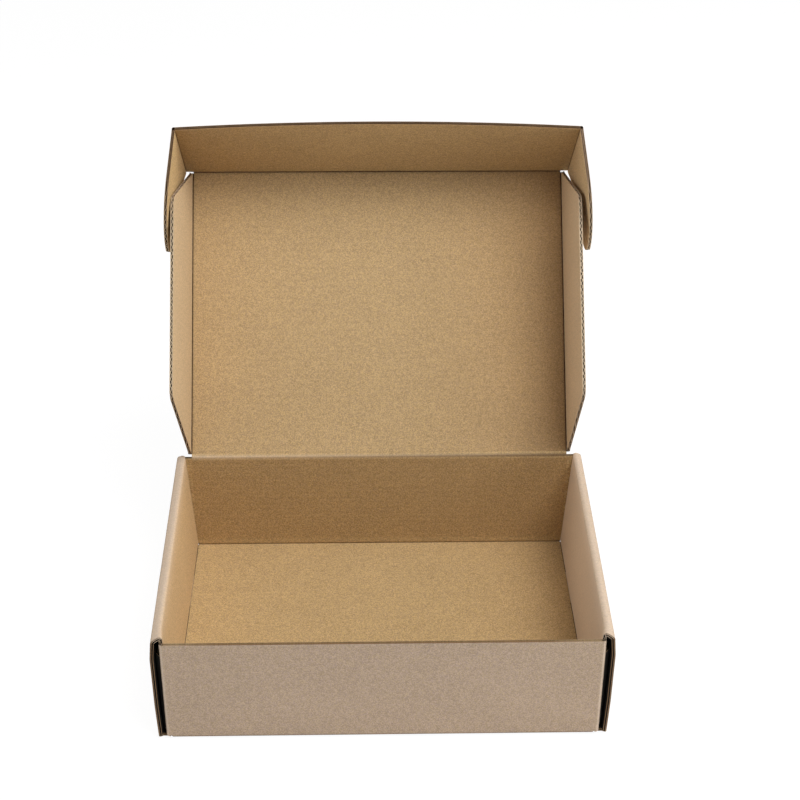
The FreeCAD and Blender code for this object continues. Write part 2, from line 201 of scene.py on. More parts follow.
def board_tree():
    """Geometry Nodes: three plies of corrugated board grown from its middle surface.

    The surface carries an attribute "sheet", its place on the flat sheet: x along the flutes, y across
    them. Its normals point to the board's inside, and "press" is 1 where the board is crushed to
    half; the paper paints the same places dark, partly as painted shade.
    Each ply is left with an attribute "ply", 1 inside, 0 medium and -1 outside, and its edges with an
    attribute "cut" of 1.
    """
    tree = bpy.data.node_groups.get("Corrugated board")
    if tree:
        return tree
    tree = bpy.data.node_groups.new("Corrugated board", "GeometryNodeTree")
    kinds = {"Geometry": "Geometry", "Paper": "Material"}
    for name in ("Geometry", "Board", "Liner", "Medium", "Flute pitch", "Washboard", "Paper"):
        kind = "NodeSocket" + kinds.get(name, "Float")
        tree.interface.new_socket(name, in_out="INPUT", socket_type=kind)
    tree.interface.new_socket("Geometry", in_out="OUTPUT", socket_type="NodeSocketGeometry")
    given = node(tree, "NodeGroupInput").outputs

    def sums(operation, *values):
        return node(tree, "ShaderNodeMath", dict(enumerate(values)), operation=operation).outputs[0]

    def stored(name, kind):
        made = node(tree, "GeometryNodeInputNamedAttribute", {"Name": name}, data_type=kind)
        return made.outputs[0]

    press = stored("press", "FLOAT")
    across = node(tree, "ShaderNodeSeparateXYZ", {0: stored("sheet", "FLOAT_VECTOR")}).outputs["Y"]
    turns = sums("DIVIDE", across, given["Flute pitch"])
    wave = sums("SINE", sums("MULTIPLY", turns, 2 * math.pi))
    open_share = sums("SUBTRACT", 1.0, sums("MULTIPLY", press, 0.5))
    normal = node(tree, "GeometryNodeInputNormal").outputs[0]
    half = sums("MULTIPLY", given["Board"], 0.5)
    half_liner = sums("MULTIPLY", given["Liner"], 0.5)
    half_medium = sums("MULTIPLY", given["Medium"], 0.5)
    liner_level = sums("MULTIPLY", sums("SUBTRACT", half, half_liner), open_share)
    ripple = sums("MULTIPLY", sums("MULTIPLY", given["Washboard"], wave), open_share)
    swing = sums("SUBTRACT", sums("SUBTRACT", half, given["Liner"]), half_medium)
    levels = (
        (1.0, sums("ADD", liner_level, ripple), given["Liner"]),
        (0.0, sums("MULTIPLY", sums("MULTIPLY", swing, wave), open_share), given["Medium"]),
        (-1.0, sums("SUBTRACT", ripple, liner_level), given["Liner"]),
    )
    plies = []
    for number, level, thickness in levels:
        low = sums("SUBTRACT", level, sums("MULTIPLY", thickness, 0.5))
        move = node(tree, "ShaderNodeVectorMath", {0: normal, "Scale": low}, operation="SCALE").outputs[0]
        face = node(tree, "GeometryNodeSetPosition", {
            "Geometry": given["Geometry"], "Offset": move,
        }).outputs[0]
        grown = node(tree, "GeometryNodeExtrudeMesh", {
            "Mesh": face, "Offset Scale": thickness, "Individual": False,
        }, mode="FACES").outputs
        grown = node(tree, "GeometryNodeStoreNamedAttribute", {
            "Geometry": grown["Mesh"], "Name": "cut", "Value": grown["Side"],
        }, data_type="FLOAT", domain="FACE").outputs[0]
        back = node(tree, "GeometryNodeFlipFaces", {"Mesh": face}).outputs[0]
        both = node(tree, "GeometryNodeJoinGeometry")
        tree.links.new(grown, both.inputs[0])
        tree.links.new(back, both.inputs[0])
        closed = node(tree, "GeometryNodeMergeByDistance", {
            "Geometry": both.outputs[0], "Distance": 1e-6,
        }).outputs[0]
        plies.append(node(tree, "GeometryNodeStoreNamedAttribute", {
            "Geometry": closed, "Name": "ply", "Value": number,
        }, data_type="FLOAT", domain="POINT").outputs[0])
    board = node(tree, "GeometryNodeJoinGeometry")
    for ply in plies:
        tree.links.new(ply, board.inputs[0])
    real = node(tree, "GeometryNodeRealizeInstances", {"Geometry": board.outputs[0]}).outputs[0]
    painted = node(tree, "GeometryNodeSetMaterial", {"Geometry": real, "Material": given["Paper"]})
    node(tree, "NodeGroupOutput", {"Geometry": painted.outputs[0]})
    return tree


def kraft_board():
    """Kraft corrugated board: unbleached, rolled paper glued over flutes.

    The eye sees a matt brown skin, cloudy and full of fine fibres that lie across the flutes, with sparse
    dark bark specks, and faint lines where the liner sinks between the flutes.
    """
    paper = bpy.data.materials.get("Kraft corrugated board")
    if paper:
        return paper
    shades = bpy.context.scene.mailer_colours
    pitch = bpy.context.scene.mailer_board.flute_pitch / MM
    paper = bpy.data.materials.new("Kraft corrugated board")
    paper.use_nodes = True
    tree = paper.node_tree
    shader = tree.nodes["Principled BSDF"]

    def sums(operation, *values, clamp=False):
        made = node(tree, "ShaderNodeMath", dict(enumerate(values)), operation=operation, use_clamp=clamp)
        return made.outputs[0]

    def spread(value, low, high, to_low, to_high):
        return node(tree, "ShaderNodeMapRange", {
            "Value": value, "From Min": low, "From Max": high, "To Min": to_low, "To Max": to_high,
        }).outputs[0]

    def stored(name, socket="Fac"):
        return node(tree, "ShaderNodeAttribute", attribute_name=name).outputs[socket]

    sheet = stored("sheet", "Vector")
    ply = stored("ply")
    flat = node(tree, "ShaderNodeVectorMath", {0: sheet, "Scale": 1 / MM}, operation="SCALE").outputs[0]

    def cloud(size_x, size_y, detail, shift=0.0):
        """Noise whose blots are that many millimetres along the flutes and across them."""
        placed = node(tree, "ShaderNodeMapping", {
            "Vector": flat, "Location": (shift, shift, shift), "Scale": (1 / size_x, 1 / size_y, 1 / size_x),
        }).outputs[0]
        return node(tree, "ShaderNodeTexNoise", {
            "Vector": placed, "Scale": 1.0, "Detail": detail, "Roughness": 0.5,
        }).outputs[0]

    # Cloudiness of the pulp 30 mm and 4 mm across, fibre clots 0.38 mm across and fibres 0.3 mm by 2.4 mm
    broad = cloud(34.0, 26.0, 3.0)
    middle = cloud(4.0, 5.0, 4.0, shift=7.0)
    cells = node(tree, "ShaderNodeTexVoronoi", {"Vector": flat, "Scale": 1 / 0.38}, voronoi_dimensions="3D")
    grain, tint, _ = node(tree, "ShaderNodeSeparateColor", {0: cells.outputs["Color"]}).outputs
    fibre = cloud(0.3, 2.4, 2.0, shift=23.0)
    across = node(tree, "ShaderNodeSeparateXYZ", {0: flat}).outputs["Y"]
    wave = sums("SINE", sums("MULTIPLY", across, 2 * math.pi / pitch))
    is_inside = spread(ply, 0.2, 0.8, 0, 1)
    is_outside = spread(ply, -0.2, -0.8, 0, 1)

    def mixed(factor, a, b, kind="MIX"):
        made = node(tree, "ShaderNodeMix", data_type="RGBA", blend_type=kind)
        for socket, value in zip([s for s in made.inputs if s.enabled], (factor, a, b)):
            if isinstance(value, bpy.types.NodeSocket):
                tree.links.new(value, socket)
            else:
                socket.default_value = value
        return [s for s in made.outputs if s.enabled][0]

    tone = mixed(is_inside, (*shades.medium, 1), (*shades.inside, 1))
    # Painted warm bounce light on the outside liner of the inner walls
    skin = mixed(stored("shelter"), (*shades.outside, 1), (*shades.sheltered, 1))
    tone = mixed(is_outside, tone, skin)
    # Painted shade darkens and warms the inside liner where aged is set
    tone = mixed(sums("MULTIPLY", stored("aged"), is_inside), tone, (*shades.aged, 1), "MULTIPLY")
    bright = sums("ADD", spread(broad, 0.3, 0.7, 0.97, 1.03), spread(middle, 0.25, 0.75, -0.004, 0.004))
    grain_depth = spread(is_outside, 0, 1, 1.0, 0.78)
    bright = sums("ADD", bright, sums("MULTIPLY", spread(grain, 0, 1, -0.3, 0.3), grain_depth))
    bright = sums("ADD", bright, spread(fibre, 0.3, 0.7, -0.018, 0.018))
    bright = sums("ADD", bright, sums("MULTIPLY", sums("MULTIPLY", wave, is_inside), 0.012))
    blue = sums("ADD", bright, spread(tint, 0, 1, -0.12, 0.12))
    shade = node(tree, "ShaderNodeCombineColor", {0: bright, 1: bright, 2: blue}).outputs[0]
    tone = mixed(1.0, tone, shade, "MULTIPLY")

    # Bark specks about 0.7 mm long, a few in each square centimetre, and pale fibres
    speck = cloud(0.55, 0.9, 1.0, shift=31.0)
    tone = mixed(spread(speck, 0.735, 0.79, 0, 0.7), tone, (*shades.fleck_dark, 1))
    pale = cloud(0.45, 2.2, 1.0, shift=57.0)
    tone = mixed(spread(pale, 0.72, 0.80, 0, 0.45), tone, (*shades.fleck_pale, 1))

    # Edges cut across the flutes show pale fibre, those along them are crushed and dark, partly painted
    # shade between the liners; creases are painted dark, partly crushed paper and partly painted shade
    cut = stored("cut")
    edge = mixed(stored("along"), (*shades.cut, 1), (*shades.cut_along, 1))
    tone = mixed(cut, tone, edge)
    tone = mixed(spread(stored("press"), 0.1, 1.0, 0, 0.95), tone, (*shades.crease, 1))

    # Folds are painted pale, partly scuffed paper and partly painted highlight. Painted shade: the space
    # inside a double wall is painted dark, "hollow" is 1 on its inside face, 2 on both faces
    tone = mixed(stored("rub"), tone, (*shades.rubbed, 1))
    deep = sums("SUBTRACT", stored("hollow"), is_outside, clamp=True)
    deep = sums("MULTIPLY", deep, sums("SUBTRACT", 1.0, cut))
    tone = mixed(deep, tone, (*shades.hollow, 1))
    tree.links.new(tone, shader.inputs["Base Color"])

    tree.links.new(spread(middle, 0.3, 0.7, 0.8, 0.9), shader.inputs["Roughness"])
    shader.inputs["IOR"].default_value = 1.45
    shader.inputs["Specular IOR Level"].default_value = 0.3
    relief = sums("ADD", sums("MULTIPLY", grain, 0.6), sums("MULTIPLY", middle, 0.2))
    bump = node(tree, "ShaderNodeBump", {"Height": relief, "Strength": 0.3, "Distance": 0.00006})
    tree.links.new(bump.outputs[0], shader.inputs["Normal"])
    return paper


def bent(points, radii, step, counts=None):
    """Samples a polyline with rounded corners about every step.

    counts fixes how many pieces each stretch has. Returns the samples, their distance along the line, and
    the counts.
    """
    points = [np.array(p, float) for p in points]
    ways = [(q - p) / np.linalg.norm(q - p) for p, q in zip(points, points[1:])]
    stretches = []
    start = points[0]
    for corner, before, after, radius in zip(points[1:], ways, ways[1:], radii):
        cross = before[0] * after[1] - before[1] * after[0]
        angle = math.atan2(cross, float(before @ after))
        back = radius * math.tan(abs(angle) / 2)
        stretches.append((start, corner - before * back - start, None))
        side = math.copysign(1, cross)
        centre = corner - before * back + np.array([-before[1], before[0]]) * radius * side
        stretches.append((centre, corner - before * back - centre, angle))
        start = corner + after * back
    stretches.append((start, points[-1] - start, None))
    samples = [stretches[0][0]]
    used = []
    for i, (base, arm, angle) in enumerate(stretches):
        straight = angle is None
        size = np.linalg.norm(arm) * (1 if straight else abs(angle))
        count = counts[i] if counts else max(1 if straight else 6, math.ceil(size / step))
        used.append(count)
        for k in range(1, count + 1):
            t = k / count
            if straight:
                samples.append(base + arm * t)
            else:
                c, s = math.cos(angle * t), math.sin(angle * t)
                samples.append(base + np.array([arm[0] * c - arm[1] * s, arm[0] * s + arm[1] * c]))
    samples = np.array(samples)
    along = np.concatenate([[0], np.cumsum(np.linalg.norm(np.diff(samples, axis=0), axis=1))])
    return samples, along, used


def mark(mesh, name, values):
    """Stores one number for each point."""
    made = mesh.attributes.new(name, "FLOAT", "POINT")
    made.data.foreach_set("value", np.asarray(values, np.float32).ravel())


def mark_sheet(mesh, places):
    """Stores each point's place on the flat sheet, given in millimetres."""
    made = mesh.attributes.new("sheet", "FLOAT_VECTOR", "POINT")
    made.data.foreach_set("vector", (places.reshape(-1, 3) * MM).astype(np.float32).ravel())


def surface(name, places, sheet, turned=False, hole=None, **marks):
    """An object from a grid of places, with its place on the flat sheet; hole(i, j) leaves a face out.

    marks are more attributes, such as "press". "along" is 1 on free edges that run along the flutes.
    """
    rows, columns = places.shape[:2]
    index = np.arange(rows * columns).reshape(rows, columns)
    faces = []
    for i in range(rows - 1):
        for j in range(columns - 1):
            if hole and hole(i, j):
                continue
            quad = [index[i, j], index[i, j + 1], index[i + 1, j + 1], index[i + 1, j]]
            faces.append(quad[::-1] if turned else quad)
    used, numbered = np.unique(faces, return_inverse=True)
    mesh = bpy.data.meshes.new(name)
    mesh.from_pydata((places.reshape(-1, 3)[used] * MM).tolist(), [], numbered.reshape(-1, 4).tolist())
    mark_sheet(mesh, sheet.reshape(-1, 3)[used])
    for key, values in marks.items():
        mark(mesh, key, values.ravel()[used])
    rim = np.sort([(face[k], face[k - 1]) for face in faces for k in range(4)], axis=1)
    rim, met = np.unique(rim, axis=0, return_counts=True)
    rim = rim[met == 1]
    steps = np.abs(sheet.reshape(-1, 3)[rim[:, 0]] - sheet.reshape(-1, 3)[rim[:, 1]]) + 1e-6
    flutewise = steps[:, 0] / (steps[:, 0] + steps[:, 1])
    along = np.zeros(rows * columns)
    met = np.full(rows * columns, 1e-6)
    for end in (0, 1):
        np.add.at(along, rim[:, end], flutewise)
        np.add.at(met, rim[:, end], 1)
    mark(mesh, "along", (along / met)[used])
    mesh.polygons.foreach_set("use_smooth", [True] * len(mesh.polygons))
    made = bpy.data.objects.new(name, mesh)
    bpy.context.collection.objects.link(made)
    return made


def as_board(surfaces, name):
    """The surfaces grown to corrugated board and joined in one plain mesh."""
    sizes = bpy.context.scene.mailer_board
    tree = board_tree()
    values = {
        "Board": sizes.board, "Liner": sizes.liner, "Medium": sizes.medium, "Flute pitch": sizes.flute_pitch,
        "Washboard": sizes.washboard, "Paper": kraft_board(),
    }
    for piece in surfaces:
        growth = piece.modifiers.new("Board", "NODES")
        growth.node_group = tree
        for item in tree.interface.items_tree:
            if item.in_out == "INPUT" and item.name in values:
                growth[item.identifier] = values[item.name]
    bpy.context.view_layer.update()
    seen = bpy.context.evaluated_depsgraph_get()
    meshes = [bpy.data.meshes.new_from_object(piece.evaluated_get(seen)) for piece in surfaces]
    for piece in surfaces:
        bpy.data.objects.remove(piece)
    whole = bpy.data.objects.new(name, meshes[0])
    bpy.context.collection.objects.link(whole)
    others = [bpy.data.objects.new(name + "_part", mesh) for mesh in meshes[1:]]
    if others:
        for other in others:
            bpy.context.collection.objects.link(other)
        with bpy.context.temp_override(active_object=whole, selected_editable_objects=[whole] + others):
            bpy.ops.object.join()
    whole.data.name = name
    crisp(whole.data)
    return whole


def crisp(mesh, limit=40):
    """Smooth faces with sharp cut edges."""
    mesh.polygons.foreach_set("use_smooth", [True] * len(mesh.polygons))
    mesh.set_sharp_from_angle(angle=math.radians(limit))


def rows_of(low, high):
    """Rows from low to high, in millimetres, as close as the board's flutes need."""
    sizes = bpy.context.scene.mailer_board
    count = math.ceil((high - low) / (sizes.flute_pitch / MM / sizes.rows))
    return np.linspace(low, high, count + 1)


def halves():
    """Half the board's thickness, the hinge's length and the flap's width with its corners, in mm."""
    scene = bpy.context.scene
    half = scene.mailer_board.board / MM / 2
    return half, scene.mailer_tray.hinge_width / MM / 2, scene.mailer_lid.flap_width / MM / 2 + half


def lid_axes():
    """The lid's hinge point in millimetres, its way up the lid and its inward normal."""
    tray, lid = bpy.context.scene.mailer_tray, bpy.context.scene.mailer_lid
    half, _, _ = halves()
    point = np.array([0, tray.depth / MM / 2 - half, tray.hinge_height / MM - half])
    way = np.array([0, math.sin(lid.tilt), math.cos(lid.tilt)])
    inward = np.array([0, -math.cos(lid.tilt), math.sin(lid.tilt)])
    return point, way, inward


def flap_axes():
    """The front flap's crease point in millimetres, its way along the flap and its inward normal."""
    point, way, inward = lid_axes()
    lid = bpy.context.scene.mailer_lid
    half, _, _ = halves()
    c, s = math.cos(lid.flap_turn), math.sin(lid.flap_turn)
    return point + way * (lid.length / MM + half), way * c + inward * s, inward * c - way * s


def side_axes(side, angle, inward):
    """A side panel's way out from its crease and its inward normal, turned in by angle."""
    out = np.array([side, 0, 0])
    c, s = math.cos(angle), math.sin(angle)
    return out * c + inward * s, inward * c - out * s


# The mesh: columns across the run of board, rows kept on the front wall, and spacings in millimetres
RUN_COLUMNS = 9
FRONT_ROWS = 4
ROLL_STEP = 4.0
ROLL_COLUMNS = 41
FLAP_STEP = 2.4
CORNER_PIECES = 8

# Painted shade: how dark and warm the inside liner is painted on the back wall, more at its right end, and
# at the bottom's right, where the right wall shades it
AGED_BACK = 0.5
AGED_BACK_RIGHT = 0.2
AGED_BOTTOM_RIGHT = 0.55
AGED_FROM, AGED_OVER = 15.0, 80.0

# The folded tray's heights and half widths in millimetres, three of them for a wall's front, middle and back
SHOULDER = 56.0
HINGE_GAP = 1.2
INNER_FOOT = 96.4
OUTER_FOOT = 100.8
INNER_CREST = (98.2, 99.0, 99.9)
OUTER_CREST = (100.9, 101.9, 102.7)
INNER_CREST_HEIGHT = (58.3, 56.9, 56.3)
OUTER_CREST_HEIGHT = (56.3, 55.6, 55.3)
BELLY = (101.75, 102.5, 102.8)
BELLY_HEIGHT = 47.0
WAIST = (101.5, 102.1, 102.0)
WAIST_HEIGHT = 20.0
BELLY_RADIUS, WAIST_RADIUS = 16.0, 150.0
FOOT_GAP = 0.8
WALL_GAP_FRONT, WALL_GAP_BACK = 0.4, 0.3
STRIP_SET_BACK = 2.2
CREST_LINE = 54.5

# The roll's front end flares in and up over this length
FLARE_LENGTH = 11.0
FLARE_IN = 1.1
FLARE_UP = 1.4

# Lock tabs and their slots: middles from front to back, half lengths and place on the flat sheet
TAB_PLACES = (-32.0, 32.0)
TAB_HALF = 12.0
TAB_RUN = 155.0
SLOT_HALF = 12.7
SLOT_WIDTH = 0.9

# How pale the roll is painted, partly scuffed paper and partly painted highlight, how much paler the right
# inner wall is painted as painted light, and how much painted warm bounce light tints the right inner wall
ROLL_RUB = 0.5
RIGHT_WALL_RUB = 0.5
RIGHT_SHELTER = 0.35
CORNER_RUB = 0.65

# Dust flaps: length, lower edge, and upper edge and half width at both of them, in front and behind
DUST_LENGTH = 42.0
DUST_LOW = 3.0
DUST_FRONT = (47.0, 98.9, 99.8)
DUST_BACK = (37.0, 98.75, 100.6)


def fade(values, start, span):
    """0 up to start, rising to 1 over span."""
    return np.clip((values - start) / span, 0, 1)


def pressed(distance, width, depth):
    """How far the board is crushed at a distance from a crease line, in millimetres."""
    return depth * np.exp(-(distance / width) ** 2)


def tray_run():
    """Front wall, bottom and back wall: one bent run of board."""
    tray = bpy.context.scene.mailer_tray
    board = bpy.context.scene.mailer_board
    half = board.board / MM / 2
    radius = tray.fold_radius / MM
    back = tray.depth / MM / 2 - half
    front = -back
    top, hinge = tray.front_height / MM, tray.hinge_height / MM - half
    points = [(front, top), (front, half), (back, half), (back, hinge)]
    path, along, _ = bent(points, [radius, radius], board.flute_pitch / MM / board.rows)
    kept = (path[:, 0] > 0) | (path[:, 1] < 4.0) | (np.arange(len(path)) % FRONT_ROWS == 0)
    path, along = path[kept], along[kept]
    y, z = path[:, :1], path[:, 1:]

    wide = np.full_like(z, tray.bottom_reach / MM)
    wide[z > half + radius] = tray.front_width / MM / 2 - tray.corner_radius / MM - half
    wide[(y > 0) & (z > half + radius)] = tray.front_width / MM / 2
    wide[(y > 0) & (z > half + radius) & (z > SHOULDER)] = tray.hinge_width / MM / 2
    x = wide * np.linspace(-1, 1, RUN_COLUMNS)[None, :]
    y, z, run = (np.repeat(values, RUN_COLUMNS, 1) for values in (y, z, (along - along[-1])[:, None]))

    # The bottom's folds are crushed and painted dark, partly crushed paper and partly painted shade along
    # the folds
    folds = np.minimum(np.hypot(y - front, z - half), np.hypot(y - back, z - half))
    press = np.minimum(pressed(folds, 0.8, 1.3), 1)
    # Painted shade on the inside liner: the back wall darker, more to its right, and the bottom darker
    # towards the right wall
    up_back = np.where(y > 0, fade(z, 1.5, 5.0), 0)
    to_right = fade(x, AGED_FROM, AGED_OVER) ** 1.5
    aged = up_back * (AGED_BACK + AGED_BACK_RIGHT * to_right)
    aged += (z < half + radius) * (1 - up_back) * AGED_BOTTOM_RIGHT * to_right
    sheet = np.stack([x, run, np.zeros_like(x)], axis=2)
    return surface("tray_run", np.stack([x, y, z], axis=2), sheet, press=press, aged=aged)


def wall_curves():
    """A side wall's centre line from its inner foot to the bottom, at its middle, front and back."""
    tray = bpy.context.scene.mailer_tray
    thick = bpy.context.scene.mailer_board.board / MM
    roll = tray.roll_radius / MM
    radii = [roll, roll, BELLY_RADIUS, WAIST_RADIUS, tray.fold_radius / MM]
    counts = None
    curves = []
    for station in (1, 0, 2):
        points = [
            (INNER_FOOT, thick + FOOT_GAP), (INNER_CREST[station], INNER_CREST_HEIGHT[station]),
            (OUTER_CREST[station], OUTER_CREST_HEIGHT[station]), (BELLY[station], BELLY_HEIGHT),
            (WAIST[station], WAIST_HEIGHT), (OUTER_FOOT, thick / 2), (tray.bottom_reach / MM, thick / 2),
        ]
        path, along, counts = bent(points, radii, ROLL_STEP, counts)
        curves.append((path, along))
    return curves, counts


def rolled_side(side):
    """One side wall, rolled over double, bowed along its length."""
    tray = bpy.context.scene.mailer_tray
    thick = bpy.context.scene.mailer_board.board / MM
    face = tray.depth / MM / 2
    ((middle, along), (front, _), (back, _)), counts = wall_curves()
    height = middle[:, 1]
    row = np.arange(len(middle))
    inner = row <= counts[0]
    crest_row = counts[0] + counts[1] // 2
    slot_row = len(middle) - 1 - counts[-1]

    # Where each row starts and ends: the inner wall fits between front and back wall, the foot is set back
    foot = STRIP_SET_BACK * np.clip((row - (slot_row - counts[-2])) / counts[-2], 0, 1)
    below_crest = 1 - fade(height, CREST_LINE, height.max() - CREST_LINE)
    low = np.where(inner, (thick + WALL_GAP_FRONT) * below_crest - face, -face) + foot
    high = np.where(inner, face - thick - WALL_GAP_BACK, face) - foot
    foot_face = face - STRIP_SET_BACK
    slot_ends = np.array([place + end * SLOT_HALF for place in TAB_PLACES for end in (-1, 1)])
    t = np.unique(np.concatenate([
        np.linspace(0, 1, ROLL_COLUMNS), np.arange(1, FLARE_LENGTH + 2) / (2 * face),
        (slot_ends + foot_face) / (2 * foot_face),
    ]))
    y = low[:, None] + (high - low)[:, None] * t[None, :]

    # A parabola through the three stations, then the flare
    u = y / face
    places = np.zeros((len(middle), len(t), 3))
    for k, axis in ((0, 0), (1, 2)):
        a, b, c = front[:, k:k + 1], middle[:, k:k + 1], back[:, k:k + 1]
        places[:, :, axis] = b + (c - a) / 2 * u + (a + c - 2 * b) / 2 * u * u
    front_share = np.clip(1 - (y + face) / FLARE_LENGTH, 0, 1) ** 1.5
    past_crest = (row - crest_row) / (counts[1] / 2 + counts[2] + counts[3] / 2)
    flared = np.where(inner, fade(height, 8.0, 30.0), np.clip(1 - past_crest, 0, 1))[:, None]
    places[:, :, 0] -= FLARE_IN * front_share * flared
    places[:, :, 2] += FLARE_UP * front_share * flared * fade(height, 45.0, 10.0)[:, None]
    places[:, :, 0] *= side
    places[:, :, 1] = y
    run = side * (tray.bottom_reach / MM + along[-1] - along)
    sheet = np.stack([np.repeat(run[:, None], len(t), 1), y, np.zeros_like(y)], axis=2)

    def in_slot(i, j):
        x = abs(places[i, j, 0])
        at = places[i, j:j + 2, 1].mean()
        near = min(abs(at - place) for place in TAB_PLACES)
        return i >= slot_row and x < INNER_FOOT + thick / 2 + SLOT_WIDTH and near < SLOT_HALF

    # Painted warm bounce light on the inner wall, full on the left and weaker on the right
    shelter = np.clip((counts[0] + 4 - row) / 3, 0, 1) * (1.0 if side < 0 else RIGHT_SHELTER)
    # The roll is painted pale, partly scuffed paper and partly painted highlight, and the right inner wall
    # paler as painted light
    rub = ROLL_RUB * np.exp(-((row - crest_row - counts[2]) / (counts[2] + 4)) ** 4)
    rub[inner] += 0.0 if side < 0 else RIGHT_WALL_RUB
    shelter, rub = (np.repeat(values[:, None], len(t), 1) for values in (shelter, rub))
    # Painted shade: the rolled side's inside liner, inside its double wall, is painted dark
    return surface("rolled_side", places, sheet, side < 0, in_slot, shelter=shelter,
                   hollow=np.ones_like(shelter), rub=rub)


def lock_tab(side, place):
    """A tab at the foot of an inner wall, in its slot."""
    thick = bpy.context.scene.mailer_board.board / MM
    y = rows_of(place - TAB_HALF, place + TAB_HALF)
    z = np.array([0.1, 1.0, thick + 1.0])
    y, z = np.meshgrid(y, z)
    sheet = np.stack([side * (TAB_RUN + z), y, np.zeros_like(y)], axis=2)
    return surface("lock_tab", np.stack([np.full_like(y, side * INNER_FOOT), y, z], axis=2), sheet, side < 0)


def dust_flap(side, end):
    """A dust flap in a rolled side, with the upright corner it turns round; end is -1 front or 1 back."""
    tray = bpy.context.scene.mailer_tray
    thick = bpy.context.scene.mailer_board.board / MM
    wall = end * (tray.depth / MM / 2 - thick / 2)
    fold = tray.front_width / MM / 2 - thick / 2
    radius = tray.corner_radius / MM
    start = fold - radius
    tall = tray.front_height / MM if end < 0 else SHOULDER
    high, low_x, high_x = DUST_FRONT if end < 0 else DUST_BACK
    z = np.linspace(thick, tall, math.ceil((tall - thick) / FLAP_STEP) + 1)
    rows = []
    for x in low_x + (high_x - low_x) * fade(z, DUST_LOW, high - DUST_LOW):
        if end < 0:
            points = [(start, wall), (fold, wall), (x, wall + 3.5), (x, wall + DUST_LENGTH)]
            path, along, _ = bent(points, [radius, radius], 1, [1, CORNER_PIECES, 2, 6, 8])
        else:
            points = [(start, wall), (x, wall), (x, wall - DUST_LENGTH)]
            path, along, _ = bent(points, [radius], 1, [1, CORNER_PIECES, 16])
        rows.append(path)
    path = np.array(rows)
    z_grid = np.repeat(z[:, None], path.shape[1], 1)
    places = np.stack([side * path[:, :, 0], path[:, :, 1], z_grid], axis=2)
    run = np.repeat(side * (start + along)[None, :], len(z), 0)
    sheet = np.stack([run, z_grid, np.zeros_like(run)], axis=2)

    def beyond(i, j):
        return j > CORNER_PIECES and not DUST_LOW < z[i] < high

    steps = np.repeat(np.arange(len(along))[None, :], len(z), 0)
    # Painted shade: past the corner both faces are painted dark, deep inside the double wall
    hollow = np.where(steps > CORNER_PIECES, 2.0, 0.0)
    # The front upright corner's round is painted pale, partly scuffed paper and partly painted highlight
    rub = CORNER_RUB * np.exp(-((steps - CORNER_PIECES * 0.6) / 2.5) ** 2) * (end < 0)
    return surface("dust_flap", places, sheet, (side > 0) != (end > 0), beyond, hollow=hollow, rub=rub)


def mount(made, body, solid, origin, along_x, along_y, inward):
    """Moves a piece made flat in x and y to its panel's place, on its body and instead of its solid."""
    rows = [[along_x[k], along_y[k], inward[k], origin[k] * MM] for k in range(3)]
    matrix = Matrix(rows + [[0, 0, 0, 1]])
    made.data.transform(matrix)
    if matrix.to_3x3().determinant() < 0:
        made.data.flip_normals()
    made.data.update()
    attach(made, body)
    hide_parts(solid)


def flat_panel(name, y, left, right, columns, folds, hinge_to=0.0, dent=None, shift=0.0, rub=0.0,
               aged=(0.0, 0.0, 0.0)):
    """A flat panel whose rows run from left to right at each y; dent(x, y) moves its middle surface inward.

    folds gives how far the board is crushed at each edge with a crease: left, right, low or high; the crush
    also paints the crease dark, partly as painted shade. aged gives how much painted shade darkens
    and warms its inside liner at the left, in the middle and at the right. rub paints the panel
    paler, partly as wear and partly as painted light. hinge_to and shift place it on the flat sheet.
    """
    beside = np.array([0.2, 0.4, 0.7]) / (right - left).max()
    t = np.sort(np.concatenate([np.linspace(0, 1, columns), beside, 1 - beside]))
    x = left[:, None] + (right - left)[:, None] * t[None, :]
    rows = np.repeat(y[:, None], len(t), 1)
    z = dent(x, rows) if dent else np.zeros_like(x)
    gaps = {"left": x - left[:, None], "right": right[:, None] - x, "low": rows - y[0], "high": y[-1] - rows}
    press = np.max([pressed(gaps[edge], 0.4, depth) for edge, depth in folds.items()], axis=0)
    place = 2 * (x - left.min()) / (right.max() - left.min()) - 1
    # Painted shade across the panel, from the left through the middle to the right
    tone = aged[1] + (aged[0] - aged[1]) * np.clip(-place, 0, 1) ** 1.6
    tone += (aged[2] - aged[1]) * np.clip(place, 0, 1) ** 1.6
    sheet = np.stack([x + shift, rows + hinge_to, np.zeros_like(x)], axis=2)
    rubbed = np.full_like(x, rub)
    return surface(name, np.stack([x, rows, z], axis=2), sheet, press=press, rub=rubbed, aged=tone)


def wing_edge(y):
    """A wing's free edge at each y, with its slanted ends and rounded corners."""
    lid = bpy.context.scene.mailer_lid
    wide, start, end = lid.wing_width / MM, lid.wing_start / MM, lid.wing_end / MM
    low_slant, high_slant, root, round_corner = 24.0, 24.4, 0.3, 7.0
    corners = [(root, start), (wide, start + low_slant), (wide, end - high_slant), (root, end)]
    outline, _, _ = bent(corners, [round_corner] * 2, 0.5)
    return np.interp(y, outline[:, 1], outline[:, 0])


def arc(a, b, c, pieces=24):
    """Points on the circle through a, b and c, from a to c."""
    a, b, c = (np.array(point) for point in (a, b, c))
    centre = np.linalg.solve(np.array([b - a, c - a]), np.array([b @ b - a @ a, c @ c - a @ a]) / 2)
    angles = np.unwrap([math.atan2(*(point - centre)[::-1]) for point in (a, b, c)])
    size = math.dist(a, centre)
    turns = np.linspace(angles[0], angles[2], pieces)
    return [(centre[0] + size * math.cos(g), centre[1] + size * math.sin(g)) for g in turns]


